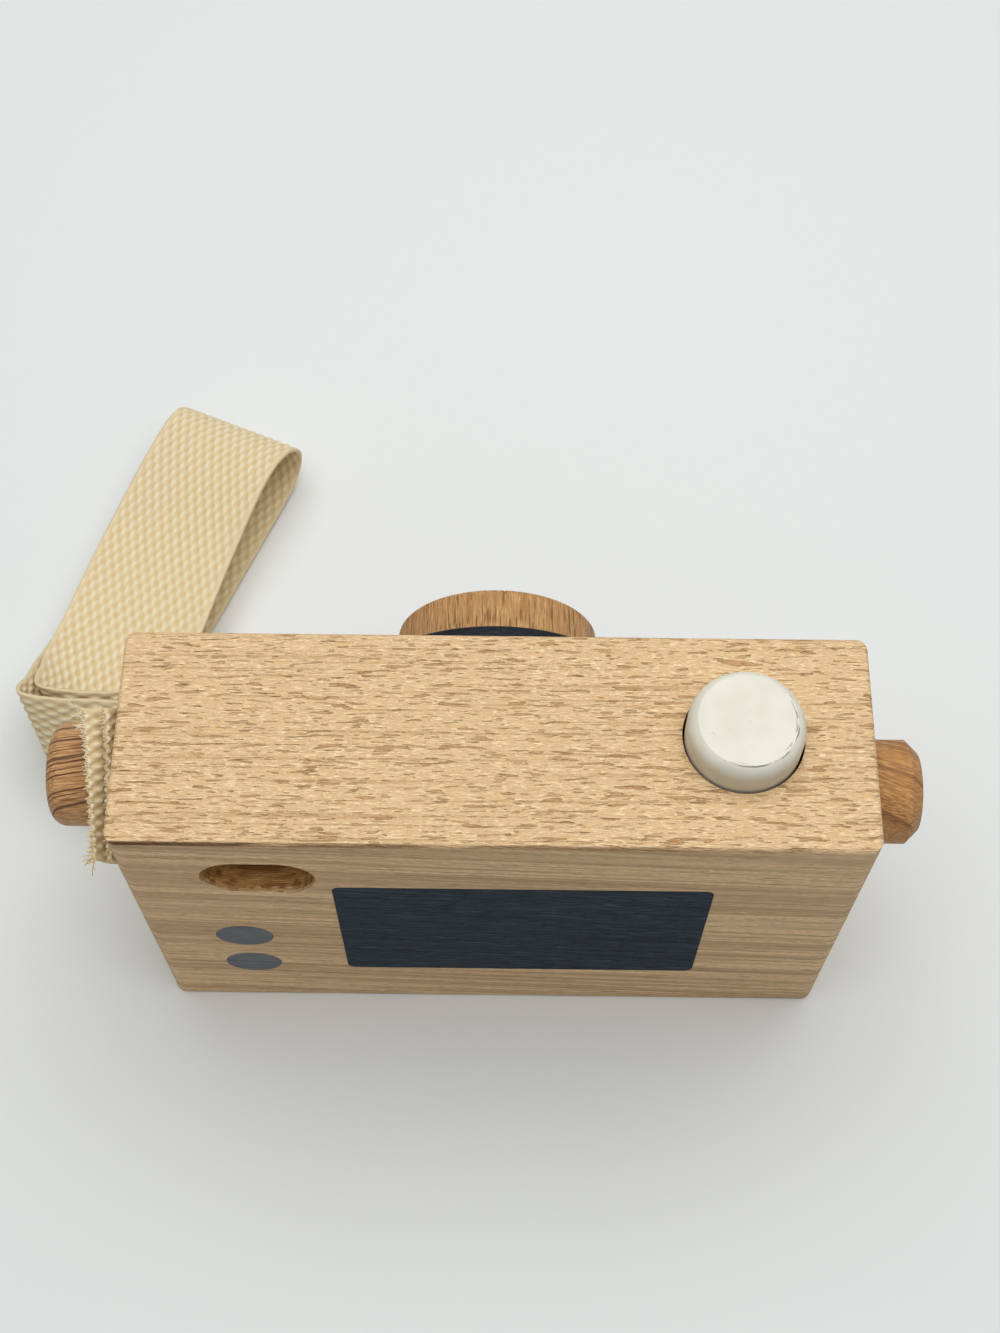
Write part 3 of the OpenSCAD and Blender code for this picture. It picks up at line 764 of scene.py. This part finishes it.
# %% Fray both ends
THREADS, THREAD_R, THREAD_SIDES = 7, 0.13, 5  # to a yarn, mm, and sides of the tube
THREAD_GAP = 0.18                             # mm between threads in the fibre pattern
# The near tuft hangs in shade, so its threads get painted shade: the golden colour of a dip.
TUFT_SHADE = 0.7                                  # how far the tuft takes on the colour of a dip
ENDS = ((0, -1, 1), (row_count - 1, 1, 0.5))  # row, way out, and how far its corners have frayed
taper = THREAD_R * (1 - 0.5 * joint_at[:, 0])
across_count = YARNS * THREADS

fray_points, fray_faces, fray_place = [], [], []
for row, out, more in ENDS:
    for k in range(across_count):
        share = (k + 0.5) / across_count
        points, skin = tube(thread_path(row, out, more, share), taper, THREAD_SIDES)
        fray_faces += [[v + len(fray_points) for v in face] for face in skin]
        fray_points += points.tolist()
        # Painted shade on the near tuft.
        lifted = 1 - TUFT_SHADE * at_corners(share)[1]
        fray_place += [(k * THREAD_GAP, 0, lifted)] * len(points)
frayed = new_cloth("frayed_threads", np.array(fray_points), fray_faces, np.array(fray_place))
frayed.data.materials.append(cotton)
print("threads:", len(ENDS) * across_count)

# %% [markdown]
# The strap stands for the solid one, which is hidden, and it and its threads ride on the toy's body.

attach(strap, "camera")
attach(frayed, "camera")
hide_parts("wrist_strap")
print("flat size", STRAP_W, "by", round(fine_length[-1]), "mm")

# %% [markdown]
# ## The button's spring
# Wound from drawn steel wire, with its end turns closed so that it stands square.
# A screw modifier would wind it too, but not with closed ends, so its path is written as an angle and a rise.

# %% Wind the spring
WIRE, TURNS, CLOSED = 0.9, 6, 0.75  # the wire's diameter in mm, turns in all, and closed turns at each end
TURN_STEPS, WIRE_SIDES = 40, 12

low, high = (np.array(corner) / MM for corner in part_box("button_spring"))
axis_x, axis_y = ((low + high) / 2)[:2]
bend_r = (high[0] - low[0] - WIRE) / 2
free_high = high[2] - low[2]
turn_at = np.linspace(0, TURNS, TURN_STEPS * TURNS + 1)
rise = np.interp(turn_at, (0, CLOSED, TURNS - CLOSED, TURNS), (0, WIRE, free_high - 2 * WIRE, free_high - WIRE))
angle = math.tau * turn_at
coil = np.stack((axis_x + bend_r * np.cos(angle), axis_y + bend_r * np.sin(angle), low[2] + WIRE / 2 + rise), axis=1)
points, skin = tube(coil, WIRE / 2, WIRE_SIDES)
wound = bpy.data.meshes.new("wound_spring")
wound.from_pydata(points * MM, [], skin)
wound.shade_smooth()
spring = bpy.data.objects.new("wound_spring", wound)
scene.collection.objects.link(spring)
print("spring:", TURNS, "turns")

# %% [markdown]
# Spring steel is drawn through a die, which leaves fine streaks that make its shine uneven.
# The streaks are about 0.02 mm wide, too fine to show, so patches of 0.5 mm stand for them.
# The spring rides on the toy's body in place of the hidden solid, with a mesh of its own.

# %% Steel, and the spring's own mesh
STREAK = 0.5                # mm
BRIGHT, DULL = 0.22, 0.42   # roughness

steel, tree = new_material("drawn_spring_steel")
drawn = add(tree, "TexNoise", {"Vector": in_mm(tree), "Scale": 1 / STREAK, "Detail": 3})
shine = add(tree, "MapRange", {"Value": drawn, "To Min": BRIGHT, "To Max": DULL})
shader = add(tree, "BsdfPrincipled", {"Base Color": linear("#B4B6B8"), "Metallic": 1, "Roughness": shine})
add(tree, "OutputMaterial", {"Surface": shader})
wound.materials.append(steel)
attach(spring, "camera")
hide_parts("button_spring")
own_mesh(spring)
print("spring: drawn steel")

# %% [markdown]
# ## Measure and finish
# The dressed toy's box is measured against that of its solids; cloth may stand a little proud. The
# dressed toy must not be bigger than its solids, apart from a little that cloth may stand proud.

# %% Finish
dressed_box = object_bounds()
grew = [[round((a - b) / MM, 2) for a, b in zip(new, old)] for new, old in zip(dressed_box, cad_box)]
print("grew by", grew, "mm")
